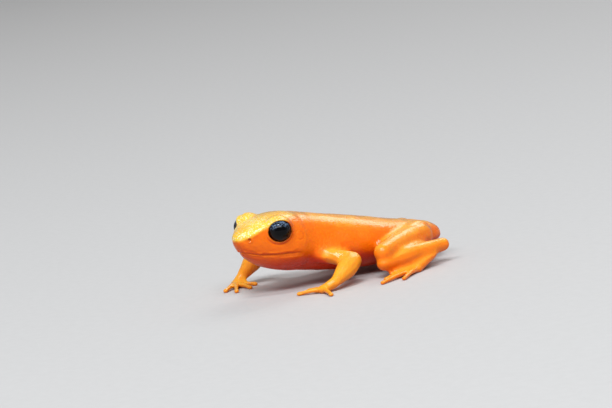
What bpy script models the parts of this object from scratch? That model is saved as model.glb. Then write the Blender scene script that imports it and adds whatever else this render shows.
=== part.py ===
"""Golden mantella, a small frog at rest, as a still, life-size model.

Metres, +Z up. The face looks along -Y and the left side is +X, with the floor at zero. The body is
shaped whole, in one skin, and then parted by thin cuts into its named pieces.
"""

import math

import bmesh
import bpy
import numpy as np
from mathutils import Matrix, Vector

MM = 0.001
GAP = 0.3 * MM  # what parts one piece from the next
BODY_LENGTH = 27.2 * MM  # snout to vent

# The trunk at each station behind the snout tip, in millimetres: station, half width, height of the
# widest line above the floor, top above the floor, underside above the floor, squareness of the
# section over and under the widest line.
TRUNK_SECTIONS = (
    (0.00, 0.35, 7.10, 7.40, 6.80, 2.0, 2.0),
    (0.25, 0.75, 7.00, 7.72, 6.20, 2.1, 2.0),
    (0.80, 1.18, 6.80, 8.02, 5.30, 2.4, 2.1),
    (1.60, 1.88, 6.50, 8.32, 4.50, 2.7, 2.1),
    (3.00, 2.85, 6.10, 8.68, 3.55, 2.8, 2.2),
    (4.40, 3.45, 5.80, 8.98, 2.90, 2.7, 2.2),
    (6.00, 3.86, 5.40, 9.12, 2.38, 2.5, 2.2),
    (7.50, 3.96, 5.10, 8.93, 2.02, 2.3, 2.1),
    (9.50, 3.85, 4.80, 8.45, 1.65, 2.2, 2.1),
    (12.0, 4.00, 4.30, 7.78, 1.18, 2.2, 2.1),
    (15.0, 4.35, 3.70, 7.05, 0.80, 2.2, 2.1),
    (18.0, 4.30, 3.30, 6.30, 0.65, 2.2, 2.1),
    (20.5, 3.72, 3.00, 5.60, 0.72, 2.2, 2.1),
    (22.5, 3.08, 2.85, 5.10, 0.95, 2.2, 2.1),
    (24.6, 2.55, 2.80, 4.62, 1.30, 2.1, 2.1),
    (26.0, 1.90, 2.75, 4.12, 1.65, 2.0, 2.0),
    (26.8, 1.15, 2.70, 3.55, 2.05, 2.0, 2.0),
    (27.2, 0.40, 2.70, 3.00, 2.40, 2.0, 2.0),
)
TRUNK_RINGS = 72
RING_POINTS = 48

# How the head is carried on the neck.
HEAD_TURN = math.radians(14.5)  # to the frog's left
HEAD_ROLL = math.radians(1.9)  # left side down
NECK_FRONT = 6.5 * MM
NECK_BACK = 12.5 * MM
NECK_HEIGHT = 6.0 * MM

# Head features, measured on the straight head.
EYE_RADIUS = 1.33 * MM
EYE_STATION = 4.2 * MM
EYE_SIDE = 2.95 * MM
EYE_HEIGHT = 7.57 * MM
EYE_AIM = Vector((0.86, -0.50, 0.03))
EYE_OPENING = (1.28 * MM, 1.16 * MM)  # half of the opening between the lids, along and across
OPENING_DROP = 0.08 * MM  # how far the opening sits under the middle of the eye
BROW_RADIUS = 1.62 * MM
BROW_INSET = 0.36 * MM  # how far the mound round the eye sits in from the eye
BROW_RISE = 0.05 * MM
LID_RADIUS = 1.05 * MM  # of the fold that stands out over the eye
LID_PLACE = (0.10 * MM, 0.42 * MM)  # out along the aim and up from the eye
# The ridge from the nostril to the eye: station and radius in millimetres, degrees round the section
# from its widest line.
CANTHUS_STOPS = ((0.6, 0.15, 14), (1.3, 0.45, 25), (2.2, 0.62, 36), (3.1, 0.72, 46), (3.9, 0.75, 52))
CANTHUS_SET = 0.55  # how deep the ridge lies, as a share of its radius
NOSTRIL_RADIUS = 0.20 * MM
NOSTRIL_STATION = 0.95 * MM
NOSTRIL_ANGLE = math.radians(5.0)
EAR_RADIUS = 0.58 * MM
EAR_GROOVE = 0.13 * MM
EAR_STATION = 6.50 * MM
EAR_ANGLE = math.radians(16.0)
# The mouth line from the middle of the snout to a corner: station, degrees under the widest line.
MOUTH_LINE = ((0.74, 90), (0.80, 74), (1.1, 54), (1.9, 37), (3.2, 25), (4.8, 18), (6.5, 13))
MOUTH_GROOVE = 0.13 * MM
SOCKET_GAP = 0.08 * MM

# Joints of the limbs, in millimetres: to the side, behind the snout tip, above the floor.
ARM_JOINTS = {
    "left": {
        "shoulder": (2.5, 9.4, 3.9),
        "elbow": (5.65, 13.0, 2.6),
        "wrist": (7.5, 9.6, 1.0),
        "palm": (7.45, 8.0, 0.42),
    },
    "right": {
        "shoulder": (-2.5, 9.4, 4.1),
        "elbow": (-7.0, 7.5, 3.7),
        "wrist": (-7.8, 5.0, 1.05),
        "palm": (-7.4, 4.0, 0.42),
    },
}
SHOULDER_RADIUS = 1.15 * MM
UPPER_ARM_RADIUS = 0.93 * MM
ELBOW_RADIUS = 1.0 * MM
FOREARM_RADIUS = 1.28 * MM
WRIST_RADIUS = 0.68 * MM
PALM_RADIUS = 0.55 * MM
# Fingers from the inner to the outer one: heading from straight ahead to the outside, and length.
FINGERS = {
    "left": ((-118, 1.9), (-72, 2.4), (-34, 2.8), (80, 2.8)),
    "right": ((-140, 2.3), (-98, 3.0), (-66, 3.8), (-40, 2.9)),
}
FINGER_RADIUS = 0.25 * MM
FINGER_DISC_RADIUS = 0.33 * MM

LEG_JOINTS = {
    "left": {
        "hip": (1.9, 23.3, 3.1),
        "knee": (6.9, 16.1, 2.95),
        "heel": (5.0, 24.8, 2.05),
        "instep": (7.5, 19.8, 0.42),
    },
    "right": {
        "hip": (-1.9, 23.3, 3.1),
        "knee": (-7.1, 16.4, 2.95),
        "heel": (-5.2, 25.0, 2.05),
        "instep": (-7.9, 20.1, 0.42),
    },
}
HIP_RADIUS = 1.85 * MM
THIGH_RADIUS = 1.60 * MM
KNEE_RADIUS = 1.05 * MM
CALF_RADIUS = 1.25 * MM
HEEL_RADIUS = 0.80 * MM
TARSUS_RADIUS = 0.55 * MM
INSTEP_RADIUS = 0.50 * MM
# Toes from the inner to the outer one: heading from straight ahead to the outside, and length.
TOES = {
    "left": ((-18, 2.2), (-2, 3.2), (12, 4.6), (24, 6.3), (42, 4.3)),
    "right": ((-16, 2.2), (2, 3.2), (16, 4.6), (30, 6.3), (48, 4.3)),
}
TOE_RADIUS = 0.25 * MM
TOE_DISC_RADIUS = 0.32 * MM
SOLE_DIP = 0.12 * MM  # how far the soles would dip under the floor, which cuts their flats

# Where the whole skin is parted, with the radius of each plate.
NECK_CUT = 8.0 * MM
NECK_PLATE = 4.9 * MM
SHOULDER_CUT = 4.2 * MM  # out from the middle, just clear of the flank
SHOULDER_PLATE = 1.85 * MM
ELBOW_PLATE = 2.15 * MM
WRIST_PLATE = 0.95 * MM
HIP_CUT_FRONT = (4.50, 17.8)
HIP_CUT_BACK = (2.60, 24.6)
HIP_CUT_HEIGHT = 3.3
HIP_PLATE = 5.2 * MM

# Skin making.
VOXEL = 0.12 * MM
WHOLE_TRIANGLES = 6200
SHANK_TRIANGLES = 560
FOOT_TRIANGLES = 1000
ROOM_TRIANGLES = 700
CORE_SMOOTHING = 24
LIMB_SMOOTHING = 8
EDGE_SMOOTHING = 4

SKIN_COLOUR = (1.0, 0.24, 0.01)
SKIN_ROUGHNESS = 0.35
EYE_COLOUR = (0.006, 0.006, 0.007)
EYE_ROUGHNESS = 0.05


def linked(name, mesh, collection):
    obj = bpy.data.objects.new(name, mesh)
    collection.objects.link(obj)
    return obj


def baked(obj, name=None):
    """The object's evaluated mesh as a new plain object, in place of the old one."""
    bpy.context.view_layer.update()
    graph = bpy.context.evaluated_depsgraph_get()
    mesh = bpy.data.meshes.new_from_object(obj.evaluated_get(graph), depsgraph=graph)
    mesh.transform(obj.matrix_world)
    bm = bmesh.new()
    bm.from_mesh(mesh)
    bmesh.ops.remove_doubles(bm, verts=bm.verts, dist=0.002 * MM)
    bm.to_mesh(mesh)
    bm.free()
    made = linked(name or obj.name, mesh, obj.users_collection[0])
    bpy.data.objects.remove(obj)
    return made


def section_at(station):
    """The trunk's section at a station in metres, smooth between the rows of the table."""
    rows = np.array(TRUNK_SECTIONS)
    stations = rows[:, 0] * MM
    values = rows[:, 1:] * np.array([MM, MM, MM, MM, 1.0, 1.0])
    slopes = np.gradient(values, stations, axis=0)
    i = int(np.clip(np.searchsorted(stations, station) - 1, 0, len(rows) - 2))
    span = stations[i + 1] - stations[i]
    t = float(np.clip((station - stations[i]) / span, 0.0, 1.0))
    start = (2 * t**3 - 3 * t**2 + 1) * values[i] + (t**3 - 2 * t**2 + t) * span * slopes[i]
    end = (3 * t**2 - 2 * t**3) * values[i + 1] + (t**3 - t**2) * span * slopes[i + 1]
    return start + end


def trunk_point(station, angle, grow=0.0):
    """A point on the straight trunk: angle 0 is its left side and a quarter turn is its back."""
    half_width, widest, top, bottom, square_over, square_under = section_at(station)
    across = math.cos(angle)
    up = math.sin(angle)
    squareness = square_over if up > 0 else square_under
    reach = (top - widest if up > 0 else widest - bottom) + grow
    x = (half_width + grow) * math.copysign(abs(across) ** (2 / squareness), across)
    z = widest + reach * math.copysign(abs(up) ** (2 / squareness), up)
    lengthen = grow * (2 * station / BODY_LENGTH - 1)
    return Vector((x, station + lengthen, z))


def trunk_normal(station, angle):
    step = 0.02 * MM
    along = trunk_point(station + step, angle) - trunk_point(station - step, angle)
    around = trunk_point(station, angle + 0.02) - trunk_point(station, angle - 0.02)
    return along.cross(around).normalized()


def head_matrix(weight=1.0):
    """How the neck turns and rolls what is in front of it, at full weight on the head itself."""
    pivot = Vector((0.0, (NECK_FRONT + NECK_BACK) / 2, NECK_HEIGHT))
    turn = Matrix.Rotation(HEAD_TURN * weight, 4, "Z")
    roll = Matrix.Rotation(HEAD_ROLL * weight, 4, "Y")
    return Matrix.Translation(pivot) @ turn @ roll @ Matrix.Translation(-pivot)


def carried(point):
    """A point of the straight trunk moved to where the turned head and neck carry it."""
    t = (NECK_BACK - point.y) / (NECK_BACK - NECK_FRONT)
    t = min(max(t, 0.0), 1.0)
    return head_matrix(t * t * (3 - 2 * t)) @ point


def loft(name, rings, collection):
    """A closed skin through rings of equal counts, closed by a fan at each end."""
    bm = bmesh.new()
    loops = [[bm.verts.new(p) for p in ring] for ring in rings]
    count = len(rings[0])
    for near, far in zip(loops, loops[1:]):
        for k in range(count):
            after = (k + 1) % count
            bm.faces.new((near[k], near[after], far[after], far[k]))
    for ends in (loops[0], loops[-1]):
        middle = bm.verts.new(sum((v.co for v in ends), Vector()) / count)
        for k in range(count):
            bm.faces.new((ends[k], ends[(k + 1) % count], middle))
    bmesh.ops.recalc_face_normals(bm, faces=bm.faces)
    mesh = bpy.data.meshes.new(name)
    bm.to_mesh(mesh)
    bm.free()
    return linked(name, mesh, collection)


def trunk(name, collection, grow=0.0):
    rings = []
    for i in range(TRUNK_RINGS + 1):
        station = BODY_LENGTH * 0.5 * (1 - math.cos(math.pi * i / TRUNK_RINGS))
        turns = [2 * math.pi * k / RING_POINTS for k in range(RING_POINTS)]
        rings.append([carried(trunk_point(station, a, grow)) for a in turns])
    return loft(name, rings, collection)


def millimetres(point):
    return Vector(point) * MM


def tube(name, stops, collection, grow=0.0, sides=4, steps=6):
    """A round limb through stops of (point, radius), as a bevelled curve with filled ends."""
    curve = bpy.data.curves.new(name, "CURVE")
    curve.dimensions = "3D"
    curve.bevel_depth = MM
    curve.bevel_resolution = sides
    curve.use_fill_caps = True
    curve.resolution_u = steps
    spline = curve.splines.new("NURBS")
    spline.points.add(len(stops) - 1)
    for point, (place, radius) in zip(spline.points, stops):
        point.co = (*place, 1.0)
        point.radius = (radius + grow) / MM
    spline.order_u = 3
    spline.use_endpoint_u = True
    return baked(linked(name, curve, collection))


def ball(name, place, radius, collection, stretch=(1, 1, 1), segments=24):
    mesh = bpy.data.meshes.new(name)
    bm = bmesh.new()
    bmesh.ops.create_uvsphere(bm, u_segments=segments, v_segments=segments // 2, radius=radius)
    bm.transform(Matrix.Translation(place) @ Matrix.Diagonal((*stretch, 1)))
    bm.to_mesh(mesh)
    bm.free()
    return linked(name, mesh, collection)


def ring(name, place, axis, radius, thickness, collection, segments=40, sides=10):
    """A torus round an axis, for the groove that edges the ear."""
    bpy.ops.mesh.primitive_torus_add(
        major_radius=radius, minor_radius=thickness, major_segments=segments, minor_segments=sides
    )
    obj = bpy.context.object
    obj.name = name
    for old in obj.users_collection:
        old.objects.unlink(obj)
    collection.objects.link(obj)
    turn = Vector((0, 0, 1)).rotation_difference(axis).to_matrix().to_4x4()
    obj.matrix_world = Matrix.Translation(place) @ turn
    return baked(obj)


def joined(name, pieces):
    """Several closed shells as one object, still overlapping."""
    bm = bmesh.new()
    for piece in pieces:
        bm.from_mesh(piece.data)
    mesh = bpy.data.meshes.new(name)
    bm.to_mesh(mesh)
    bm.free()
    made = linked(name, mesh, pieces[0].users_collection[0])
    for piece in pieces:
        bpy.data.objects.remove(piece)
    return made


def fused(obj, smoothing, triangles=None):
    """One smooth skin over overlapping shells, thinned to about the triangles asked for."""
    remesh = obj.modifiers.new("Remesh", "REMESH")
    remesh.mode = "VOXEL"
    remesh.voxel_size = VOXEL
    remesh.adaptivity = 0.0
    smooth = obj.modifiers.new("Smooth", "SMOOTH")
    smooth.factor = 0.5
    smooth.iterations = smoothing
    obj = baked(obj)
    if triangles is None:
        return obj
    now = sum(len(p.vertices) - 2 for p in obj.data.polygons)
    decimate = obj.modifiers.new("Decimate", "DECIMATE")
    decimate.ratio = min(1.0, triangles / now)
    return baked(obj)


def cut(obj, cutter):
    boolean = obj.modifiers.new("Cut", "BOOLEAN")
    boolean.operation = "DIFFERENCE"
    boolean.object = cutter
    return baked(obj)


def loose_parts(obj):
    """The object's separate closed surfaces as objects, the largest first."""
    bm = bmesh.new()
    bm.from_mesh(obj.data)
    unseen = set(bm.verts)
    groups = []
    while unseen:
        edge = [unseen.pop()]
        group = set(edge)
        while edge:
            for link in edge.pop().link_edges:
                for vert in link.verts:
                    if vert in unseen:
                        unseen.remove(vert)
                        group.add(vert)
                        edge.append(vert)
        groups.append({v.index for v in group})
    groups.sort(key=len, reverse=True)
    parts = []
    for number, group in enumerate(groups):
        part = bm.copy()
        part.verts.ensure_lookup_table()
        away = [v for v in part.verts if v.index not in group]
        bmesh.ops.delete(part, geom=away, context="VERTS")
        mesh = bpy.data.meshes.new(obj.name)
        part.to_mesh(mesh)
        part.free()
        parts.append(linked(f"{obj.name}.{number}", mesh, obj.users_collection[0]))
    bm.free()
    bpy.data.objects.remove(obj)
    return parts


def main_body(obj, name):
    """Keeps the largest closed surface, under the node's name."""
    parts = loose_parts(obj)
    for scrap in parts[1:]:
        bpy.data.objects.remove(scrap)
    parts[0].name = name
    return parts[0]


def nearest(parts, place):
    """Takes out of the list the part whose middle is nearest to a place."""

    def distance(part):
        corners = [v.co for v in part.data.vertices]
        return (sum(corners, Vector()) / len(corners) - place).length

    best = min(parts, key=distance)
    parts.remove(best)
    return best


def slab(name, place, axis, size, collection):
    """A thin round plate that parts a limb where it stands."""
    mesh = bpy.data.meshes.new(name)
    bm = bmesh.new()
    bmesh.ops.create_cone(
        bm, cap_ends=True, segments=32, radius1=size, radius2=size, depth=GAP
    )
    turn = Vector((0, 0, 1)).rotation_difference(axis.normalized()).to_matrix().to_4x4()
    bm.transform(Matrix.Translation(place) @ turn)
    bm.to_mesh(mesh)
    bm.free()
    return linked(name, mesh, collection)


def eye_place(side):
    return head_matrix() @ Vector((side * EYE_SIDE, EYE_STATION, EYE_HEIGHT))


def eye_aim(side):
    aim = Vector((side * EYE_AIM.x, EYE_AIM.y, EYE_AIM.z)).normalized()
    return head_matrix().to_3x3() @ aim


def brow_shells(collection):
    """The mounds that the eyes sit in, and the ridges from them to the nostrils."""
    shells = []
    for side in (1, -1):
        upward = Vector((0, 0, 1))
        mound = eye_place(side) - eye_aim(side) * BROW_INSET + upward * BROW_RISE
        shells.append(ball("brow", mound, BROW_RADIUS, collection, segments=32))
        lid = eye_place(side) + eye_aim(side) * LID_PLACE[0] + upward * LID_PLACE[1]
        shells.append(ball("lid", lid, LID_RADIUS, collection, segments=32))
        stops = []
        for station, radius, degrees in CANTHUS_STOPS:
            edge = math.radians(degrees if side > 0 else 180 - degrees)
            outward = trunk_normal(station * MM, edge)
            inward = trunk_point(station * MM, edge) - outward * radius * MM * CANTHUS_SET
            stops.append((carried(inward), radius * MM))
        shells.append(tube("canthus", stops, collection))
    return shells


def eye_opening(side, collection):
    """A plug along the eye's aim that opens the mound between the lids."""
    mesh = bpy.data.meshes.new("opening")
    bm = bmesh.new()
    bmesh.ops.create_cone(bm, cap_ends=True, segments=32, radius1=1, radius2=1.12, depth=2.5 * MM)
    bm.transform(Matrix.Translation((0, 0, 1.25 * MM)))
    bm.transform(Matrix.Diagonal((EYE_OPENING[0], EYE_OPENING[1], 1, 1)))
    aim = eye_aim(side)
    level = Vector((0, 0, 1)).cross(aim).normalized()
    turn = Matrix((level, aim.cross(level), aim)).transposed().to_4x4()
    middle = eye_place(side) - aim.cross(level) * OPENING_DROP
    bm.transform(Matrix.Translation(middle) @ turn)
    bm.to_mesh(mesh)
    bm.free()
    return linked("opening", mesh, collection)


def arm_stops(side):
    joints = {name: millimetres(p) for name, p in ARM_JOINTS[side].items()}
    shoulder, elbow, wrist, palm = (joints[n] for n in ("shoulder", "elbow", "wrist", "palm"))
    upper = [
        (shoulder, SHOULDER_RADIUS),
        (shoulder.lerp(elbow, 0.45), UPPER_ARM_RADIUS),
        (shoulder.lerp(elbow, 0.85), ELBOW_RADIUS),
        (elbow, ELBOW_RADIUS),
    ]
    lower = [
        (elbow, ELBOW_RADIUS),
        (elbow.lerp(wrist, 0.35), FOREARM_RADIUS),
        (elbow.lerp(wrist, 0.80), WRIST_RADIUS * 1.15),
        (wrist, WRIST_RADIUS),
        (wrist.lerp(palm, 0.6), PALM_RADIUS),
        (palm, PALM_RADIUS),
    ]
    return joints, upper, lower


def digits(base, fan, side, radius, disc, collection):
    """Fingers or toes from the end of a palm or instep, lying on the floor, each with its disc."""
    made = []
    outward = 1 if side == "left" else -1
    for heading, length in fan:
        angle = math.radians(heading)
        way = Vector((outward * math.sin(angle), -math.cos(angle), 0))
        tip = base + way * length * MM
        tip.z = disc - SOLE_DIP
        knuckle = base + way * length * MM * 0.38
        knuckle.z = base.z * 0.5 + radius * 0.9
        middle = base + way * length * MM * 0.72
        middle.z = radius + 0.10 * MM
        stops = [(base, radius * 1.35), (knuckle, radius * 1.15), (middle, radius), (tip, radius)]
        made.append(tube("digit", stops, collection))
        flat = ball("disc", tip, disc, collection, (1.0, 1.0, 0.85), 16)
        made.append(flat)
    return made


def leg_stops(side):
    joints = {name: millimetres(p) for name, p in LEG_JOINTS[side].items()}
    hip, knee, heel, instep = (joints[n] for n in ("hip", "knee", "heel", "instep"))
    thigh = [
        (hip, HIP_RADIUS),
        (hip.lerp(knee, 0.35), THIGH_RADIUS),
        (hip.lerp(knee, 0.75), THIGH_RADIUS * 0.82),
        (knee, KNEE_RADIUS),
    ]
    below = Vector((0.15, 0.0, -1.15)) * MM
    below.x = math.copysign(below.x, knee.x)
    knee_end = knee + below
    shank = [
        (knee_end, KNEE_RADIUS * 0.9),
        (knee_end.lerp(heel, 0.3), CALF_RADIUS),
        (knee_end.lerp(heel, 0.7), CALF_RADIUS * 0.75),
        (heel, HEEL_RADIUS),
    ]
    foot = [
        (heel, HEEL_RADIUS * 0.9),
        (heel.lerp(instep, 0.4), TARSUS_RADIUS),
        (instep, INSTEP_RADIUS),
    ]
    return joints, thigh, shank, foot


def upper_arm_shells(side, collection):
    joints, upper, lower = arm_stops(side)
    return [
        tube("upper", upper, collection),
        ball("shoulder", joints["shoulder"], SHOULDER_RADIUS, collection),
        ball("elbow", joints["elbow"], ELBOW_RADIUS, collection),
    ]


def forearm_shells(side, collection):
    joints, upper, lower = arm_stops(side)
    palm = joints["palm"]
    shells = [
        tube("lower", lower, collection),
        ball("palm", palm, PALM_RADIUS, collection, (1.15, 1.15, 0.9)),
    ]
    fan = FINGERS[side]
    return shells + digits(palm, fan, side, FINGER_RADIUS, FINGER_DISC_RADIUS, collection)


def thigh_shells(side, collection, grow=0.0):
    joints, thigh, shank, foot = leg_stops(side)
    return [
        tube("thigh", thigh, collection, grow),
        ball("hip", joints["hip"], HIP_RADIUS + grow, collection),
        ball("kneecap", joints["knee"], KNEE_RADIUS + grow, collection),
    ]


def shank_shells(side, collection, grow=0.0):
    joints, thigh, shank, foot = leg_stops(side)
    return [
        tube("shank", shank, collection, grow),
        ball("shin", shank[0][0], shank[0][1] + grow, collection),
        ball("heel", joints["heel"], HEEL_RADIUS + grow, collection),
    ]


def foot_shells(side, collection):
    joints, thigh, shank, foot = leg_stops(side)
    instep = joints["instep"]
    shells = [
        tube("tarsus", foot, collection),
        ball("instep", instep, INSTEP_RADIUS, collection, (1.1, 1.1, 0.9)),
    ]
    return shells + digits(instep, TOES[side], side, TOE_RADIUS, TOE_DISC_RADIUS, collection)


def parting_plates(collection):
    """The plates that part the whole skin at the neck, hips, shoulders, elbows and wrists."""
    neck = Vector((0.0, NECK_CUT, NECK_HEIGHT - 0.6 * MM))
    facing = Matrix.Rotation(HEAD_TURN / 2, 3, "Z") @ Vector((0, -1, 0))
    plates = [slab("neck", neck, facing, NECK_PLATE, collection)]
    for side, sign in (("left", 1), ("right", -1)):
        joints = arm_stops(side)[0]
        shoulder, elbow, wrist = (joints[n] for n in ("shoulder", "elbow", "wrist"))
        along = (elbow - shoulder).normalized()
        onward = (wrist - elbow).normalized()
        reach = (SHOULDER_CUT - abs(shoulder.x)) / (abs(elbow.x) - abs(shoulder.x))
        place = shoulder.lerp(elbow, reach)
        plates.append(slab("shoulder", place, Vector((1, 0, 0)), SHOULDER_PLATE, collection))
        plates.append(slab("elbow", elbow, along + onward, ELBOW_PLATE, collection))
        plates.append(slab("wrist", wrist, onward, WRIST_PLATE, collection))
        front = Vector((sign * HIP_CUT_FRONT[0], HIP_CUT_FRONT[1], HIP_CUT_HEIGHT)) * MM
        back = Vector((sign * HIP_CUT_BACK[0], HIP_CUT_BACK[1], HIP_CUT_HEIGHT)) * MM
        across = (back - front).cross(Vector((0, 0, 1)))
        plates.append(slab("hip", front.lerp(back, 0.5), across, HIP_PLATE, collection))
    return joined("plates", plates)


def parted(whole, plates):
    """Cuts the whole skin apart and gives each piece the name of the place it is nearest to."""
    pieces = loose_parts(cut(whole, plates))
    places = {"head": head_matrix() @ Vector((0, 4.2 * MM, 6 * MM)), "torso": Vector((0, 16, 4)) * MM}
    for side in ("left", "right"):
        joints = arm_stops(side)[0]
        places["upper_arm_" + side] = joints["shoulder"].lerp(joints["elbow"], 0.7)
        places["forearm_" + side] = joints["elbow"].lerp(joints["wrist"], 0.5)
        places["hand_" + side] = joints["palm"]
        joints = leg_stops(side)[0]
        places["thigh_" + side] = joints["hip"].lerp(joints["knee"], 0.6)
    named = {}
    for piece in pieces[len(places):]:
        bpy.data.objects.remove(piece)
    left = pieces[: len(places)]
    for name, place in places.items():
        named[name] = nearest(left, place)
        named[name].name = name
    return named


def mouth_groove(collection):
    """The line of the closed mouth, from one corner round the snout to the other."""
    left = [(station * MM, -math.radians(under)) for station, under in MOUTH_LINE]
    right = [(station, -math.pi - angle) for station, angle in left[1:]]
    path = left[::-1] + right
    stops = [(carried(trunk_point(station, angle)), MOUTH_GROOVE) for station, angle in path]
    return tube("mouth", stops, collection, sides=1, steps=5)


def head_details(head, tools):
    """Cuts the eye sockets, nostrils, ear edges and the line of the mouth."""
    cutters = [mouth_groove(tools)]
    for side in (1, -1):
        cutters.append(ball("socket", eye_place(side), EYE_RADIUS + SOCKET_GAP, tools, segments=32))
        cutters.append(eye_opening(side, tools))
        lean = NOSTRIL_ANGLE if side > 0 else math.pi - NOSTRIL_ANGLE
        nostril = carried(trunk_point(NOSTRIL_STATION, lean))
        cutters.append(ball("nostril", nostril, NOSTRIL_RADIUS, tools, segments=12))
        lean = EAR_ANGLE if side > 0 else math.pi - EAR_ANGLE
        ear = carried(trunk_point(EAR_STATION, lean))
        out = head_matrix().to_3x3() @ trunk_normal(EAR_STATION, lean)
        cutters.append(ring("ear", ear, out, EAR_RADIUS, EAR_GROOVE, tools, 24, 6))
    for cutter in cutters:
        head = cut(head, cutter)
    for cutter in cutters:
        cutter.hide_render = True
        cutter.display_type = "WIRE"
    return main_body(head, "head")


def floor_cut(obj):
    """Cuts what reaches under the floor, so that the soles are flat at one level."""
    bm = bmesh.new()
    bm.from_mesh(obj.data)
    everything = bm.verts[:] + bm.edges[:] + bm.faces[:]
    done = bmesh.ops.bisect_plane(
        bm, geom=everything, dist=0.0005 * MM, plane_co=(0, 0, 0), plane_no=(0, 0, -1), clear_outer=True
    )
    edges = [e for e in done["geom_cut"] if isinstance(e, bmesh.types.BMEdge)]
    bmesh.ops.holes_fill(bm, edges=edges)
    bmesh.ops.triangulate(bm, faces=bm.faces)
    bmesh.ops.recalc_face_normals(bm, faces=bm.faces)
    bm.to_mesh(obj.data)
    bm.free()
    return obj


def skin_material(name, colour, roughness):
    material = bpy.data.materials.new(name)
    material.use_nodes = True
    shader = material.node_tree.nodes["Principled BSDF"]
    shader.inputs["Base Color"].default_value = (*colour, 1.0)
    shader.inputs["Roughness"].default_value = roughness
    shader.inputs["Metallic"].default_value = 0.0
    return material


def finish(obj, pivot, root, colour, roughness):
    """Puts the piece's own origin at its joint, under the frog's empty, and colours it."""
    obj.data.transform(Matrix.Translation(-pivot))
    obj.location = pivot
    obj.parent = root
    obj.data.materials.clear()
    obj.data.materials.append(skin_material(obj.name, colour, roughness))
    obj.data.shade_smooth()


def centre(root, nodes):
    """Moves the frog so that the middle of its footprint is the origin."""
    places = [obj.location + v.co for obj in nodes for v in obj.data.vertices]
    for axis in (0, 1):
        values = [place[axis] for place in places]
        root.location[axis] = -(min(values) + max(values)) / 2


def main():
    for obj in list(bpy.data.objects):
        bpy.data.objects.remove(obj)
    parts = bpy.data.collections.new("mantella")
    tools = bpy.data.collections.new("cutters")
    for collection in (parts, tools):
        bpy.context.scene.collection.children.link(collection)

    shells = [trunk("trunk", parts)] + brow_shells(parts)
    for side in ("left", "right"):
        shells += upper_arm_shells(side, parts) + thigh_shells(side, parts)
    shells = [fused(joined("core", shells), CORE_SMOOTHING)]
    for side in ("left", "right"):
        shells += forearm_shells(side, parts)
    whole = fused(joined("whole", shells), EDGE_SMOOTHING, WHOLE_TRIANGLES)
    whole = floor_cut(whole)
    nodes = parted(whole, parting_plates(tools))
    nodes["head"] = head_details(nodes["head"], tools)
    pivots = {"head": Vector((0.0, NECK_CUT, NECK_HEIGHT)), "torso": Vector((0, 16, 4)) * MM}
    for side, sign in (("left", 1), ("right", -1)):
        shank = fused(joined("shank", shank_shells(side, parts)), LIMB_SMOOTHING, SHANK_TRIANGLES)
        wide_thigh = joined("thigh_room", thigh_shells(side, tools, GAP))
        wide_thigh = fused(wide_thigh, LIMB_SMOOTHING, ROOM_TRIANGLES)
        shank = main_body(cut(shank, wide_thigh), "shank_" + side)
        foot = fused(joined("foot", foot_shells(side, parts)), EDGE_SMOOTHING, FOOT_TRIANGLES)
        wide_shank = joined("shank_room", shank_shells(side, tools, GAP))
        wide_shank = fused(wide_shank, LIMB_SMOOTHING, ROOM_TRIANGLES)
        foot = floor_cut(main_body(cut(foot, wide_shank), "foot_" + side))
        eye = ball("eye_" + side, eye_place(sign), EYE_RADIUS, parts, segments=24)
        nodes["shank_" + side], nodes["foot_" + side], nodes["eye_" + side] = shank, foot, eye
        for cutter in (wide_thigh, wide_shank):
            cutter.hide_render = True
            cutter.display_type = "WIRE"
        arm = arm_stops(side)[0]
        leg = leg_stops(side)[0]
        pivots["upper_arm_" + side] = arm["shoulder"]
        pivots["forearm_" + side] = arm["elbow"]
        pivots["hand_" + side] = arm["wrist"]
        pivots["thigh_" + side] = leg["hip"]
        pivots["shank_" + side] = leg["knee"]
        pivots["foot_" + side] = leg["heel"]
        pivots["eye_" + side] = eye_place(sign)
    plates = tools.objects["plates"]
    plates.hide_render = True
    plates.display_type = "WIRE"

    root = bpy.data.objects.new("mantella", None)
    parts.objects.link(root)
    for name, obj in nodes.items():
        is_eye = name.startswith("eye")
        colour = EYE_COLOUR if is_eye else SKIN_COLOUR
        finish(obj, pivots[name], root, colour, EYE_ROUGHNESS if is_eye else SKIN_ROUGHNESS)
    centre(root, nodes.values())


main()
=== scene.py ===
import math

import bpy
import numpy as np
from mathutils import Matrix, Vector
from mathutils.bvhtree import BVHTree
from mathutils.kdtree import KDTree


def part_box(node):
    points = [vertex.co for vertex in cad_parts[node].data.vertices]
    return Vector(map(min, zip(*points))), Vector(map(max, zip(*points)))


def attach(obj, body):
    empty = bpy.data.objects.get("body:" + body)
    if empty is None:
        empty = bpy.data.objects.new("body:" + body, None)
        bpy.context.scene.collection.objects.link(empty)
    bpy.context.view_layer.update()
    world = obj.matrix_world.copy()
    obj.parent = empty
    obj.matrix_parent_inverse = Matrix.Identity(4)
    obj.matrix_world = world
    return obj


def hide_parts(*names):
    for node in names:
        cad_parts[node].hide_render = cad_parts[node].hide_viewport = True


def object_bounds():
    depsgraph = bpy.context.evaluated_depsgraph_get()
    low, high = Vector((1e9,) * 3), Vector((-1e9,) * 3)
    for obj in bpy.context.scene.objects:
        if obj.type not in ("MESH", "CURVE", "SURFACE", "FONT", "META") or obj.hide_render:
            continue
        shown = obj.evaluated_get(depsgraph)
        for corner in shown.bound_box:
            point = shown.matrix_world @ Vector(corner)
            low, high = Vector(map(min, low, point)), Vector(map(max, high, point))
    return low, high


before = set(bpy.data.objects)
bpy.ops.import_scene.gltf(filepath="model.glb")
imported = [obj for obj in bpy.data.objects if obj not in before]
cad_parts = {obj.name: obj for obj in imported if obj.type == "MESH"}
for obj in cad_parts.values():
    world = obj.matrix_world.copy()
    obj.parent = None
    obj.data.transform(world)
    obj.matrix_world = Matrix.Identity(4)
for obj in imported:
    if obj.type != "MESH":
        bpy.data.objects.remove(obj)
cadLow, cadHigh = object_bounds()
mm = 0.001
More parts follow.
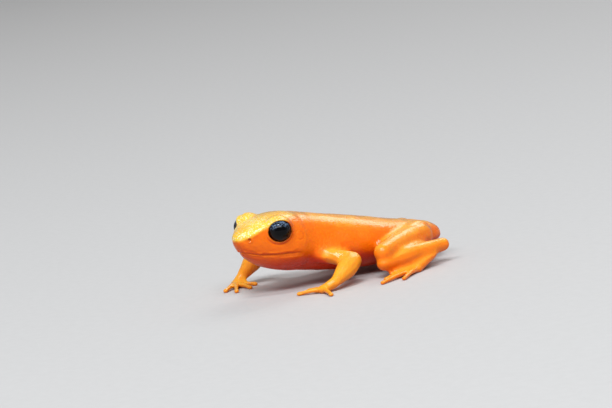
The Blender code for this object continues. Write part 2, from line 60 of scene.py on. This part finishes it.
sides = ("left", "right")
fleshNodes = [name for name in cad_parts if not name.startswith("eye")]
print("the frame is loaded")


def deselectAll():
    for thing in bpy.context.selected_objects:
        thing.select_set(False)


def makeActive(piece):
    deselectAll()
    piece.select_set(True)
    bpy.context.view_layer.objects.active = piece


def applyModifier(piece, kind, **settings):
    makeActive(piece)
    modifier = piece.modifiers.new(kind.title(), kind)
    for key, value in settings.items():
        setattr(modifier, key, value)
    bpy.ops.object.modifier_apply(modifier=modifier.name)


def readAll(items, key, count=1, kind=np.int32):
    # a property of all items in one array, with count numbers for each
    values = np.empty(len(items) * count, kind)
    items.foreach_get(key, values)
    return values


def placesOf(piece):
    return readAll(piece.data.vertices, "co", 3, np.float32).reshape(-1, 3).astype(float)


def normalsOf(piece):
    return readAll(piece.data.vertex_normals, "vector", 3, np.float32).reshape(-1, 3).astype(float)


def moveTo(piece, places):
    piece.data.vertices.foreach_set("co", places.astype(np.float32).ravel())
    piece.data.update()


def pushOut(piece, amounts):
    # moves the surface along its normals by amounts in mm
    moveTo(piece, placesOf(piece) + normalsOf(piece) * amounts[:, None] * mm)


def paint(piece, name, values):
    # a number at each vertex, which the material reads by its name
    layer = piece.data.attributes.new(name, "FLOAT", "POINT")
    layer.data.foreach_set("value", values.astype(np.float32))


def weightGroup(skin, name, weights, steps=10):
    # all vertices of about the same weight are added together
    group = skin.vertex_groups.new(name=name)
    for step in range(1, steps + 1):
        chosen = np.nonzero(np.round(weights * steps) == step)[0]
        if len(chosen):
            group.add(chosen.tolist(), step / steps, "REPLACE")


def smoothSkin(skin, passes, weights=None):
    # each pass has a factor and a number of steps; the weights say where it works
    group = ""
    if weights is not None:
        group = "smoothed"
        weightGroup(skin, group, weights)
    for factor, steps in passes:
        applyModifier(skin, "SMOOTH", factor=factor, iterations=steps, vertex_group=group)
    skin.vertex_groups.clear()


def smoothStep(low, high, values):
    t = np.clip((values - low) / (high - low), 0.0, 1.0)
    return t * t * (3 - 2 * t)


def bell(values, middle, width):
    return np.exp(-(((values - middle) / width) ** 2))


# Where the head is: the two eyes give its directions to the left, to the back and up.
head = {
    "eyeStation": 4.2,  # mm behind the snout tip
    "eyeHeight": 7.57,  # mm on the level head
    "eyeAim": (0.86, -0.50, 0.03),  # of the left eye, to the left, back and up
    "length": 9.0,  # mm, to where its own shapes have faded
    "fade": 1.0,
}


def middleOf(node):
    low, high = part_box(node)
    return (low + high) / 2


eyeMiddles = {sideName: middleOf("eye_" + sideName) for sideName in sides}
eyeRadius = (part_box("eye_left")[1].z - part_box("eye_left")[0].z) / 2
betweenEyes = (eyeMiddles["left"] + eyeMiddles["right"]) / 2
headLeft = (eyeMiddles["left"] - eyeMiddles["right"]).normalized()
headBack = Vector((0, 0, 1)).cross(headLeft).normalized()
headUp = headLeft.cross(headBack).normalized()


def onHead(side, station, height):
    # the place of a point given in mm on the level head
    back = station - head["eyeStation"]
    up = height - head["eyeHeight"]
    return betweenEyes + (headLeft * side + headBack * back + headUp * up) * mm


def headSizes(places):
    # side, station and height in mm of many places
    away = (places - np.array(betweenEyes)) / mm
    side = away @ np.array(headLeft)
    station = away @ np.array(headBack) + head["eyeStation"]
    height = away @ np.array(headUp) + head["eyeHeight"]
    return side, station, height


def eyeDirections(sideName):
    # where an eye looks, its long axis and its short one
    sign = 1 if sideName == "left" else -1
    left, back, up = head["eyeAim"]
    aim = (headLeft * left * sign + headBack * back + headUp * up).normalized()
    along = headUp.cross(aim).normalized()
    return aim, along, aim.cross(along)


# The skin: the flesh nodes' shapes are swelled until their gaps close, made one surface
# and drawn in again. Sizes are in mm, and a smoothing pass has a factor and its steps.
skinMaking = {
    "gapStart": 0.01,  # off a face, where the look across a gap begins
    "gapReach": 0.4,
    "doubles": 0.002,
    "swell": 0.26,
    "swellReach": (0.8, 1.6),  # from a wrist's or heel's gap, swelled most and not at all
    "voxel": 0.08,
    "softening": [(0.5, 2)],  # while it is swelled
    "smoothing": [(0.5, 4)],
    "facets": [(0.5, 8), (-0.52, 8)] * 3,  # in and out, so that the body gets no thinner
    "seams": [(0.6, 30)],
    "seamReach": (0.6, 1.5),  # from a gap, smoothed most and not at all
    "lowest": 0.003,  # where the flats of the hands and feet lie
    "kept": {"trunk": 0.12, "legs": 0.16, "arms": 0.30, "ends": 0.60},  # shares of the faces
}
kindsOfNodes = {
    "head": ("head",),
    "arms": ("upper", "forearm", "hand"),
    "legs": ("thigh", "shank", "foot"),
    "ends": ("hand", "foot"),
}
lids = {
    "along": 1.28,  # half of the opening, mm
    "across": 1.16,
    "drop": 0.08,
    "roll": 0.08,  # radius of the rolled edge
    "rollOut": 0.7,  # of that radius, from the ball to the roll's middle
    "rollFaces": (64, 12),
    "leastSquare": 0.05,  # mm2, keeps the roll's middle in front of the ball's
    "rim": (0.05, 1.12, 0.10),  # mm high, with its middle and width as shares of the opening
    "crease": (0.06, 1.36, 0.09),
    "reach": (2.6, 1.9),  # mm from the ball's middle, without these shapes and with them
    "paintedShade": (1.14, 0.98),  # shares of the opening, where the painted shade at the rim begins and where it is full
    "shadeReach": (1.9, 1.6),
    "facing": (0.0, 0.4),  # cosines to the ray from the ball, inner and outer skin
    "behind": 3.0,  # share given to the skin behind the ball, out of reach of all
}


def copyOf(name):
    copy = bpy.data.objects.new(name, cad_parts[name].data.copy())
    bpy.context.collection.objects.link(copy)
    copy.data.materials.clear()
    return copy


def lidRoll(sideName):
    # the rolled edge of the lids, lying on the eye
    aim, along, across = eyeDirections(sideName)
    rounds, corners = lids["rollFaces"]
    deselectAll()
    bpy.ops.mesh.primitive_torus_add(
        major_segments=rounds, minor_segments=corners, major_radius=1.0, minor_radius=lids["roll"]
    )
    ring = bpy.context.active_object
    places = placesOf(ring)
    flat = np.hypot(places[:, 0], places[:, 1])
    sideways = places[:, 0] / flat * (lids["along"] + lids["roll"])
    upward = places[:, 1] / flat * (lids["across"] + lids["roll"]) - lids["drop"]
    spread = np.hypot(sideways, upward)
    radius = eyeRadius / mm + lids["rollOut"] * lids["roll"]
    forward = np.sqrt(np.maximum(radius**2 - spread**2, lids["leastSquare"]))
    core = np.column_stack([sideways, upward, forward])
    outward = core / np.linalg.norm(core, axis=1)[:, None]
    sideOut = np.column_stack([sideways / spread, upward / spread, np.zeros(len(spread))])
    sideOut -= outward * np.sum(sideOut * outward, axis=1)[:, None]
    sideOut /= np.linalg.norm(sideOut, axis=1)[:, None]
    tube = core + sideOut * (flat - 1.0)[:, None] + outward * places[:, 2][:, None]
    turn = np.array(Matrix((along, across, aim)))
    moveTo(ring, (tube @ turn) * mm + np.array(eyeMiddles[sideName]))
    return ring


def joinPieces(pieces, name):
    deselectAll()
    for piece in pieces:
        piece.select_set(True)
    bpy.context.view_layer.objects.active = pieces[0]
    bpy.ops.object.join()
    pieces[0].name = name
    return pieces[0]


def gapPoints(copies):
    # places on the faces that look at another node across a thin gap
    seen = bpy.context.evaluated_depsgraph_get()
    trees = [BVHTree.FromObject(copy, seen) for copy in copies]
    reach = skinMaking["gapReach"] * mm
    found = []
    for number, copy in enumerate(copies):
        for face in copy.data.polygons:
            start = face.center + face.normal * skinMaking["gapStart"] * mm
            for other, tree in enumerate(trees):
                if other != number and tree.ray_cast(start, face.normal, reach)[0]:
                    found.extend([copy.data.vertices[i].co.copy() for i in face.vertices])
                    break
    return found


def treeOf(points):
    tree = KDTree(len(points))
    for number, point in enumerate(points):
        tree.insert(point, number)
    tree.balance()
    return tree


def distancesTo(tree, places):
    # in mm, to the nearest point of the tree
    return np.array([tree.find(place)[2] for place in places]) / mm


def kindsOf(places):
    # 1 where a place belongs to a kind of node, 0 elsewhere
    points, firstWords = [], []
    for name in fleshNodes:
        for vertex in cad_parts[name].data.vertices:
            points.append(vertex.co)
            firstWords.append(name.split("_")[0])
    tree = treeOf(points)
    nearest = np.array([firstWords[tree.find(place)[1]] for place in places])
    return {kind: np.isin(nearest, words).astype(float) for kind, words in kindsOfNodes.items()}


def swellAt(places, gapTree):
    # mm that the flesh swells: not on the fingers and toes, which are too thin for it
    near, far = skinMaking["swellReach"]
    gaps = smoothStep(far, near, distancesTo(gapTree, places))
    return skinMaking["swell"] * np.maximum(gaps, 1.0 - kindsOf(places)["ends"])


def makeSkin():
    copies = [copyOf(name) for name in fleshNodes]
    gapTree = treeOf(gapPoints(copies))
    skin = joinPieces(copies + [lidRoll(sideName) for sideName in sides], "skin")
    bpy.ops.object.mode_set(mode="EDIT")
    bpy.ops.mesh.select_all(action="SELECT")
    bpy.ops.mesh.remove_doubles(threshold=skinMaking["doubles"] * mm)
    bpy.ops.object.mode_set(mode="OBJECT")
    pushOut(skin, swellAt(placesOf(skin), gapTree))
    applyModifier(skin, "REMESH", mode="VOXEL", voxel_size=skinMaking["voxel"] * mm)
    smoothSkin(skin, skinMaking["softening"])
    pushOut(skin, -swellAt(placesOf(skin), gapTree))
    smoothSkin(skin, skinMaking["smoothing"])
    smoothSkin(skin, skinMaking["facets"], 1.0 - kindsOf(placesOf(skin))["head"])
    near, far = skinMaking["seamReach"]
    seams = smoothStep(far, near, distancesTo(gapTree, placesOf(skin)))
    smoothSkin(skin, skinMaking["seams"], seams)
    print("one skin of", len(skin.data.polygons), "faces")
    return skin


def thinFaces(skin, chosenPlaces, share):
    corners = readAll(skin.data.loops, "vertex_index")
    starts = readAll(skin.data.polygons, "loop_start")
    chosen = np.logical_and.reduceat(chosenPlaces[corners], starts)
    makeActive(skin)
    bpy.ops.object.mode_set(mode="EDIT")
    bpy.ops.mesh.select_mode(type="FACE")
    bpy.ops.mesh.select_all(action="DESELECT")
    bpy.ops.object.mode_set(mode="OBJECT")
    skin.data.polygons.foreach_set("select", chosen)
    bpy.ops.object.mode_set(mode="EDIT")
    bpy.ops.mesh.decimate(ratio=share)
    bpy.ops.object.mode_set(mode="OBJECT")


def thinBody(skin):
    # the head keeps all its faces
    for region, share in skinMaking["kept"].items():
        kinds = kindsOf(placesOf(skin))
        limbs = np.maximum(kinds["arms"], kinds["legs"])
        kinds["trunk"] = 1.0 - np.maximum(kinds["head"], limbs)
        for limb in ("arms", "legs"):
            kinds[limb] = kinds[limb] * (1.0 - kinds["ends"])
        thinFaces(skin, kinds[region] > 0.5, share)
    triangles = sum(len(face.vertices) - 2 for face in skin.data.polygons)
    print("the skin is thinned to", triangles, "triangles")


# The mouth runs round the snout: its height at headings from straight ahead, seen from inside.
mouth = {
    "station": 3.0,  # mm, of the middle that the headings are seen from
    "headings": (0, 10, 26, 57, 94, 118, 133),
    "heights": (5.42, 5.40, 5.30, 5.04, 4.88, 4.77, 4.57),
    "corners": (134, 122),  # headings where the line ends and where it is full
    "depth": 0.12,
    "width": 0.075,
    "lips": ((0.22, 0.16, 0.035), (-0.25, 0.22, -0.045)),  # mm above the line, wide and proud
    "ceiling": (6.4, 6.1),  # heights where all of this has faded and where it is full
}


def mouthShape(side, station, height):
    heading = np.degrees(np.arctan2(np.abs(side), mouth["station"] - station))
    above = height - np.interp(heading, mouth["headings"], mouth["heights"])
    fade = smoothStep(*mouth["corners"], heading)
    line = bell(above, 0.0, mouth["width"])
    shape = -mouth["depth"] * line
    for middle, width, proud in mouth["lips"]:
        shape += proud * bell(above, middle, width)
    return shape * fade, fade * line


# Pits and discs on the side of the head: station, height and the rest in mm.
nostril = {
    "station": 1.1,
    "height": 6.92,
    "radius": 0.13,
    "depth": 0.16,
    "rim": 0.05,
    "rimRadius": 0.26,
    "rimWidth": 0.1,
}
ear = {
    "station": 6.5,
    "height": 6.6,
    "radius": 0.56,
    "edge": 0.07,
    "depth": 0.045,
    "dish": (0.4, 0.3),  # depth and floor inside the ring, as shares of its depth and radius
}


def distancesFrom(tree, spot, sign, places):
    # in mm, from where a spot lies on the skin of the left or the right side
    start = onHead(0.0, spot["station"], spot["height"])
    place = np.array(tree.ray_cast(start, headLeft * sign)[0])
    return np.linalg.norm(places - place, axis=1) / mm


def sideShapes(skin, places):
    # nostrils and ears, and a mask of the nostrils for the painted shade in them
    tree = BVHTree.FromObject(skin, bpy.context.evaluated_depsgraph_get())
    shape = np.zeros(len(places))
    pits = np.zeros(len(places))
    dishDepth, dishFloor = ear["dish"]
    for sign in (1, -1):
        away = distancesFrom(tree, nostril, sign, places)
        pit = bell(away, 0.0, nostril["radius"])
        shape -= nostril["depth"] * pit
        shape += nostril["rim"] * bell(away, nostril["rimRadius"], nostril["rimWidth"])
        pits = np.maximum(pits, pit)
        away = distancesFrom(tree, ear, sign, places)
        inside = smoothStep(ear["radius"], dishFloor * ear["radius"], away)
        shape -= ear["depth"] * bell(away, ear["radius"], ear["edge"])
        shape -= dishDepth * ear["depth"] * inside
    return shape, pits


def lidShapes(places, normals):
    # a soft rim round each eye with a crease behind it, on the outer face of the skin only,
    # and a mask of painted shade round the rims
    shape = np.zeros(len(places))
    rims = np.zeros(len(places))
    rimHeight, rimMiddle, rimWidth = lids["rim"]
    creaseDepth, creaseMiddle, creaseWidth = lids["crease"]
    for sideName, middle in eyeMiddles.items():
        aim, along, across = (np.array(direction) for direction in eyeDirections(sideName))
        away = (places - np.array(middle)) / mm
        distance = np.linalg.norm(away, axis=1)
        upward = away @ across + lids["drop"]
        spread = np.hypot(away @ along / lids["along"], upward / lids["across"])
        spread = np.where(away @ aim > 0, spread, lids["behind"])
        outward = np.sum(normals * away, axis=1) / np.maximum(distance, 1e-6)  # never by 0
        near = smoothStep(*lids["facing"], outward) * smoothStep(*lids["reach"], distance)
        shape += near * rimHeight * bell(spread, rimMiddle, rimWidth)
        shape -= near * creaseDepth * bell(spread, creaseMiddle, creaseWidth)
        # painted shade round the rims of the lids
        paintedShade = smoothStep(*lids["paintedShade"], spread) * smoothStep(*lids["shadeReach"], distance)
        rims = np.maximum(rims, paintedShade)
    return shape, rims


def shapeHead(skin):
    places, normals = placesOf(skin), normalsOf(skin)
    side, station, height = headSizes(places)
    front = smoothStep(head["length"], head["length"] - head["fade"], station)
    low = smoothStep(*mouth["ceiling"], height)
    mouthPart, mouthLine = mouthShape(side, station, height)
    pitPart, pits = sideShapes(skin, places)
    lidPart, rims = lidShapes(places, normals)
    pushOut(skin, front * (mouthPart * low + pitPart + lidPart))
    print("the head has its lids, lips, nostrils and ears")
    # masks for painted shade in the mouth line, the nostrils and the rims of the lids
    return front * mouthLine * low, front * pits, front * rims


# Soft folds of the trunk and fine granules of the upper skin, moved by textures. Sizes in mm.
skinLumps = {
    "folds": {"kind": "CLOUDS", "size": 1.6, "height": 0.07},
    "granules": {"kind": "VORONOI", "size": 0.27, "height": 0.022},
}
lumpPlaces = {
    "foldsWide": 4.8,  # from the middle of the trunk
    "foldsAbove": 0.9,
    "foldsBehind": (6.0, 9.0),  # stations with none and all of them
    "granulesFacing": (-0.35, 0.5),  # how far up the skin faces
    "granulesAbove": (0.5, 1.5),
    "granulesOffEnds": 0.8,  # of their height, on the hands and feet
}


def addLumps(skin):
    places, up = placesOf(skin), normalsOf(skin)[:, 2]
    inside = np.abs(places[:, 0]) < lumpPlaces["foldsWide"] * mm
    inside &= places[:, 2] > lumpPlaces["foldsAbove"] * mm
    upper = smoothStep(*lumpPlaces["granulesFacing"], up)
    upper *= smoothStep(*lumpPlaces["granulesAbove"], places[:, 2] / mm)
    upper *= 1.0 - lumpPlaces["granulesOffEnds"] * kindsOf(places)["ends"]
    folded = inside * smoothStep(*lumpPlaces["foldsBehind"], headSizes(places)[1])
    weightGroup(skin, "folds", folded)
    weightGroup(skin, "granules", upper)
    for name, lump in skinLumps.items():
        texture = bpy.data.textures.new(name, lump["kind"])
        texture.noise_scale = lump["size"] * mm
        applyModifier(
            skin, "DISPLACE", texture=texture, texture_coords="LOCAL", mid_level=0.5,
            strength=lump["height"] * mm, vertex_group=name,
        )
    skin.vertex_groups.clear()
    places = placesOf(skin)
    places[:, 2] = np.maximum(places[:, 2], skinMaking["lowest"] * mm)
    moveTo(skin, places)
    print("the skin has its folds and lumps")


# How the colours spread: yellow with painted light on the top faces and the limbs, painted shade
# in red underneath, and painted shade in the pits, the mouth line and the rims of the lids.
# Each ramp goes softly between two places, with the tone at the first and at the second.
toneSpread = {
    "snoutLine": (  # stations and heights of the lower edge of the yellow with painted light on the snout, mm
        (0.0, 6.85), (0.6, 6.95), (1.3, 7.25), (2.2, 7.75),
        (3.1, 8.15), (4.2, 8.55), (7.0, 8.45), (11.0, 8.6),
    ),
    "blur": 12,  # rounds, where the limbs' colours begin
    "limbsShade": 0.4,  # of the trunk's painted shade in red
    "paintedShade": (0.12, 0.5, 0.9),  # painted shade in the line of the mouth, nostrils and rims of the lids
}
# Snout, back, arms and legs paint light in yellow on top; flank, under and low paint shade in red.
toneRamps = {
    "snoutEdge": (-0.20, 0.28, 0.0, 1.0),  # by mm above the snout line
    "snoutUpper": (1.5, 0.3, 0.55, 1.0),
    "neck": (12.5, 8.5, 0.0, 0.74),  # by station
    "snoutTip": (5.0, 2.9, 0.0, 0.26),
    "back": (0.55, 1.0, 0.0, 0.50),  # painted light in yellow on the back, by how far up the skin faces
    # the arms' own yellower tone, with painted light added on their tops
    "arms": (0.1, 0.9, 0.36, 0.54),
    # painted light in yellow on the tops of the legs
    "legs": (0.2, 0.9, 0.10, 0.45),
    # painted shade in red on the faces that look down
    "flankShade": (0.20, -0.55, 0.0, 1.0),
    "underShade": (0.1, -0.7, 0.0, 0.7),
    "wet": (0.0, 0.65, 0.06, 1.0),
    "lowShade": (6.0, 3.0, 0.0, 1.0),  # painted shade near the floor, by mm above the floor
}


def ramp(name, values):
    start, end, first, last = toneRamps[name]
    return first + (last - first) * smoothStep(start, end, values)


def blurred(piece, values):
    ends = readAll(piece.data.edges, "vertices", 2)
    first, second = ends[::2], ends[1::2]
    many = np.bincount(ends, minlength=len(values)) + 1.0
    for number in range(toneSpread["blur"]):
        total = values.copy()
        np.add.at(total, first, values[second])
        np.add.at(total, second, values[first])
        values = total / many
    return values


def highest(*masks):
    return np.maximum.reduce(masks)


def paintTones(skin, *paintedShadeMasks):
    places, up = placesOf(skin), normalsOf(skin)[:, 2]
    station, height = headSizes(places)[1:]
    kinds = kindsOf(places)
    arms, legs = blurred(skin, kinds["arms"]), blurred(skin, kinds["legs"])
    above = height - np.interp(station, *zip(*toneSpread["snoutLine"]))
    snout = ramp("snoutEdge", above) * ramp("snoutUpper", above)
    snout *= ramp("neck", station) + ramp("snoutTip", station)
    # yellow with painted light on the snout's top, the back and the limbs' tops; arms also their
    # own tone
    yellowAndPaintedLight = highest(snout, ramp("back", up), arms * ramp("arms", up), legs * ramp("legs", up))
    # painted shade in red where the skin faces down and near the floor, less on the limbs
    flank = ramp("flankShade", up) * ramp("lowShade", places[:, 2] / mm)
    shadeRed = highest(flank, ramp("underShade", up))
    shadeRed *= 1 - (1 - toneSpread["limbsShade"]) * highest(arms, legs)
    # painted shade in the mouth line, the nostrils and the rims of the lids
    paintedShade = highest(*(share * mask for share, mask in zip(toneSpread["paintedShade"], paintedShadeMasks)))
    paint(skin, "yellowAndPaintedLight", yellowAndPaintedLight)
    paint(skin, "shadeRed", shadeRed)
    paint(skin, "paintedShade", paintedShade)
    paint(skin, "wet", ramp("wet", up))
    print("the skin has its tones")


# Materials: an input takes another node's output or a constant.
def feed(node, entry, value):
    if isinstance(value, bpy.types.NodeSocket):
        node.id_data.links.new(value, node.inputs[entry])
    else:
        node.inputs[entry].default_value = value


def newMaterial(name, constants):
    material = bpy.data.materials.new(name)
    material.use_nodes = True
    shader = material.node_tree.nodes["Principled BSDF"]
    for entry, value in constants.items():
        feed(shader, entry, value)
    return material, material.node_tree, shader


def addNode(tree, kind, inputs, **settings):
    # gives the outputs of the new node
    node = tree.nodes.new(kind)
    for key, value in settings.items():
        setattr(node, key, value)
    for entry, value in inputs.items():
        feed(node, entry, value)
    return node.outputs


def painted(tree, name):
    return addNode(tree, "ShaderNodeAttribute", {}, attribute_name=name)["Fac"]


def objectPlaces(tree):
    return addNode(tree, "ShaderNodeTexCoord", {})["Object"]


def noise(tree, scale, detail):
    inputs = {"Vector": objectPlaces(tree), "Scale": scale, "Detail": detail}
    return addNode(tree, "ShaderNodeTexNoise", inputs)["Fac"]


def mapRange(tree, value, limits):
    inputs = dict(zip(("From Min", "From Max", "To Min", "To Max"), limits))
    return addNode(tree, "ShaderNodeMapRange", {"Value": value, **inputs})["Result"]


def calculate(tree, operation, first, second):
    return addNode(tree, "ShaderNodeMath", {0: first, 1: second}, operation=operation)[0]


def mixColours(tree, factor, first, second):
    inputs = {0: factor, 6: first, 7: second}
    return addNode(tree, "ShaderNodeMix", inputs, data_type="RGBA")[2]


# Ranges are given as from, to, and what becomes of the two.
skinLook = {
    "orange": (0.95, 0.178, 0.0005, 1),
    # yellow of the painted light on the top faces, and of the arms' own yellower tone
    "yellowAndPaintedLight": (0.95, 0.60, 0.045, 1),
    # red of the painted shade underneath
    "shadeRed": (0.56, 0.028, 0.001, 1),
    # colour of the painted shade in pits and creases
    "paintedShade": (0.10, 0.008, 0.002, 1),
    # painted glints on the granules
    "paintedGlint": (0.97, 0.92, 0.62, 1),
    "patches": (420, 4),  # noise a metre and its detail
    "shade": (0.3, 0.7, 0.86, 1.06),  # of the colour, by patch
    "granule": 4600,  # cells a metre
    "granuleSoftness": 0.5,
    "granuleHeight": 0.032,  # mm
    "glints": (0.50, 0.14, 0.02, 0.95),  # painted glints, pale middles of the granules
    "glintsOnYellow": (0.62, 1.0, 0.0, 1.0),
    "roughness": (0.40, 0.60, 0.09, 0.33),  # by patch
    "dryRoughness": (0.0, 1.0, 0.20, 0.0),  # added, from dry skin to wet
    "coat": (0.0, 1.0, 0.0, 0.50),  # from dry skin to wet
    "shader": {
        "Specular IOR Level": 0.24,
        "Subsurface Weight": 0.22,
        "Subsurface Radius": (1.0, 0.22, 0.03),
        "Subsurface Scale": 0.5 * mm,
        "Coat Roughness": 0.17,
    },
}


def makeSkinMaterial():
    material, tree, shader = newMaterial("frogSkin", skinLook["shader"])
    yellowAndPaintedLight, shadeRed, paintedShade, wet = (painted(tree, name) for name in ("yellowAndPaintedLight", "shadeRed", "paintedShade", "wet"))
    patches = noise(tree, *skinLook["patches"])
    granules = {
        "Vector": objectPlaces(tree),
        "Scale": skinLook["granule"],
        "Smoothness": skinLook["granuleSoftness"],
    }
    cells = addNode(tree, "ShaderNodeTexVoronoi", granules, feature="SMOOTH_F1")["Distance"]

    # yellow with painted light on the top faces
    colour = mixColours(tree, yellowAndPaintedLight, skinLook["orange"], skinLook["yellowAndPaintedLight"])
    # painted shade in red underneath
    colour = mixColours(tree, shadeRed, colour, skinLook["shadeRed"])
    # painted glints: pale middles of the granules where the skin is yellow
    glints = mapRange(tree, cells, skinLook["glints"])
    onYellow = mapRange(tree, yellowAndPaintedLight, skinLook["glintsOnYellow"])
    glints = calculate(tree, "MULTIPLY", glints, onYellow)
    colour = mixColours(tree, glints, colour, skinLook["paintedGlint"])
    shade = {0: colour, "Scale": mapRange(tree, patches, skinLook["shade"])}
    colour = addNode(tree, "ShaderNodeVectorMath", shade, operation="SCALE")[0]
    # painted shade in the mouth line, the nostrils and the rims of the lids
    feed(shader, "Base Color", mixColours(tree, paintedShade, colour, skinLook["paintedShade"]))

    gloss = mapRange(tree, patches, skinLook["roughness"])
    matt = mapRange(tree, wet, skinLook["dryRoughness"])
    feed(shader, "Roughness", calculate(tree, "ADD", gloss, matt))
    feed(shader, "Coat Weight", mapRange(tree, wet, skinLook["coat"]))
    relief = {"Height": cells, "Distance": skinLook["granuleHeight"] * mm}
    feed(shader, "Normal", addNode(tree, "ShaderNodeBump", relief, invert=True)["Normal"])
    return material


# Eyes: black balls with a clear front that stands out a little, and bluish flecks at the top
# of the iris, partly its own pigment and partly a painted reflection of the sky. Places on the
# iris are in shares of the ball's radius.
eyeLook = {
    "segments": 72,
    "cornea": 0.05,  # mm
    "corneaFacing": (0.75, 1.0),
    "pupil": (0.50, 0.42),
    "pupilShape": (1.15, 0.9),  # wider than high
    "iris": (0.98, 0.86),
    "fleckedReflection": (0.05, 0.55),  # up from the middle, where the flecks and painted reflection lie
    "black": (0.001, 0.001, 0.0015, 1),
    "irisBlack": (0.005, 0.004, 0.004, 1),
    # bluish, partly the iris's own pigment and partly a painted reflection of the sky
    "fleckAndReflection": (0.13, 0.20, 0.31, 1),
    "flecks": (6500, 3),  # noise a metre and its detail
    "fleckRange": (0.46, 0.62, 0.0, 1.0),
    "shader": {"Roughness": 0.05, "IOR": 1.24},
}


def makeEye(sideName):
    aim, along, across = eyeDirections(sideName)
    middle = eyeMiddles[sideName]
    rounds = eyeLook["segments"]
    deselectAll()
    bpy.ops.mesh.primitive_uv_sphere_add(segments=rounds, ring_count=rounds // 2, radius=eyeRadius)
    eye = bpy.context.active_object
    eye.name = "eye" + sideName.title()
    turn = Matrix((along, across, aim)).transposed().to_4x4()
    eye.data.transform(Matrix.Translation(middle) @ turn)
    away = (placesOf(eye) - np.array(middle)) / mm
    facing, upward, sideways = (
        away @ np.array(direction) / (eyeRadius / mm) for direction in (aim, across, along)
    )
    pushOut(eye, eyeLook["cornea"] * smoothStep(*eyeLook["corneaFacing"], facing))
    wide, high = eyeLook["pupilShape"]
    pupil = smoothStep(*eyeLook["pupil"], np.hypot(sideways / wide, upward / high))
    ball = smoothStep(*eyeLook["iris"], np.hypot(sideways, upward))
    iris = ball * (1 - pupil) * (facing > 0)
    paint(eye, "iris", iris)
    paint(eye, "fleckedReflection", iris * smoothStep(*eyeLook["fleckedReflection"], upward))
    bpy.ops.object.shade_smooth()
    return eye


def makeEyeMaterial():
    material, tree, shader = newMaterial("frogEye", eyeLook["shader"])
    # flecks on the upper iris, partly pigment and partly a painted reflection
    spots = mapRange(tree, noise(tree, *eyeLook["flecks"]), eyeLook["fleckRange"])
    amount = calculate(tree, "MULTIPLY", spots, painted(tree, "fleckedReflection"))
    base = mixColours(tree, painted(tree, "iris"), eyeLook["black"], eyeLook["irisBlack"])
    feed(shader, "Base Color", mixColours(tree, amount, base, eyeLook["fleckAndReflection"]))
    return material


# Studio
cameraView = {
    "azimuth": 65.0,  # degrees, from straight ahead of the frog to its left
    "elevation": 8.0,
    "roll": -8.0,
    "lens": 150.0,
    "sensor": 36.0,
    "distance": 0.283,
    "clips": (0.005, 20.0),
    "photo": (612, 408),  # pixels
    "snoutAt": (234, 240),  # the snout tip in the photo
    "snoutHeight": 7.1,  # mm on the level head
}


def makeCamera():
    turn, lift = math.radians(cameraView["azimuth"]), math.radians(cameraView["elevation"])
    ahead, aside = -math.cos(turn), math.sin(turn)
    back = Vector((aside * math.cos(lift), ahead * math.cos(lift), math.sin(lift)))
    snout = onHead(0.0, 0.0, cameraView["snoutHeight"])
    bpy.ops.object.camera_add()
    camera = bpy.context.object
    camera.name = "camera"
    camera.data.sensor_width = cameraView["sensor"]
    camera.data.lens = cameraView["lens"]
    camera.data.clip_start, camera.data.clip_end = cameraView["clips"]
    roll = Matrix.Rotation(math.radians(cameraView["roll"]), 3, "Z")
    facing = (-back).to_track_quat("-Z", "Y").to_matrix() @ roll
    wide, high = cameraView["photo"]
    pixel = camera.data.sensor_width / wide / camera.data.lens * cameraView["distance"]
    across = (wide / 2 - cameraView["snoutAt"][0]) * pixel
    upward = (cameraView["snoutAt"][1] - high / 2) * pixel
    place = snout + facing @ Vector((across, upward, cameraView["distance"]))
    camera.matrix_world = Matrix.Translation(place) @ facing.to_4x4()
    bpy.context.scene.camera = camera
    print("the camera stands at the photo's angle")


# Each light: place in m, width and height in m, watts, colour.
lights = {
    "skyPanel": ((0.60, -0.39, 0.76), (1.1, 0.24), 11.0, (0.95, 0.97, 1.0)),
    "topLamp": ((0.30, -0.19, 0.90), (0.24, 0.10), 2.6, (0.92, 0.96, 1.0)),
    "backPanel": ((-0.55, 0.75, 0.85), (0.55, 0.55), 2.8, (1.0, 0.96, 0.94)),
}
room = {"Color": (0.88, 0.90, 0.93, 1), "Strength": 0.34}


def makeLights():
    aimAt = (cadLow + cadHigh) / 2
    for name, (place, size, watts, tint) in lights.items():
        bpy.ops.object.light_add(type="AREA", location=place)
        light = bpy.context.object
        light.name = name
        light.rotation_euler = (aimAt - Vector(place)).to_track_quat("-Z", "Y").to_euler()
        light.data.shape = "RECTANGLE"
        light.data.size, light.data.size_y = size
        light.data.energy = watts
        light.data.color = tint
    world = bpy.data.worlds.new("studio")
    world.use_nodes = True
    for entry, value in room.items():
        feed(world.node_tree.nodes["Background"], entry, value)
    bpy.context.scene.world = world
    print("the lights are on")


floorLook = {
    "radius": 3.0,
    "corners": 96,
    "tones": ((0.54, 0.535, 0.525, 1), (0.58, 0.575, 0.565, 1)),
    "grain": (900, 2),  # noise a metre and its detail
    "shader": {"Roughness": 0.7},
}


def makeFloor():
    deselectAll()
    bpy.ops.mesh.primitive_circle_add(
        vertices=floorLook["corners"], radius=floorLook["radius"], fill_type="NGON"
    )
    floor = bpy.context.object
    floor.name = "floor"
    material, tree, shader = newMaterial("paleFloor", floorLook["shader"])
    grain = noise(tree, *floorLook["grain"])
    feed(shader, "Base Color", mixColours(tree, grain, *floorLook["tones"]))
    floor.data.materials.append(material)
    print("the floor is laid")


makeCamera()
skin = makeSkin()
# masks for painted shade in the mouth line, nostrils and rims of the lids
masks = shapeHead(skin)
addLumps(skin)
paintTones(skin, *masks)
thinBody(skin)
makeActive(skin)
bpy.ops.object.shade_smooth()
skin.data.materials.append(makeSkinMaterial())
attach(skin, "root")
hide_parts(*fleshNodes)

eyeMaterial = makeEyeMaterial()
for sideName in sides:
    eye = makeEye(sideName)
    eye.data.materials.append(eyeMaterial)
    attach(eye, "root")
    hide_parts("eye_" + sideName)
print("the eyes are in place")

makeLights()
makeFloor()
bpy.context.scene.view_settings.view_transform = "Standard"
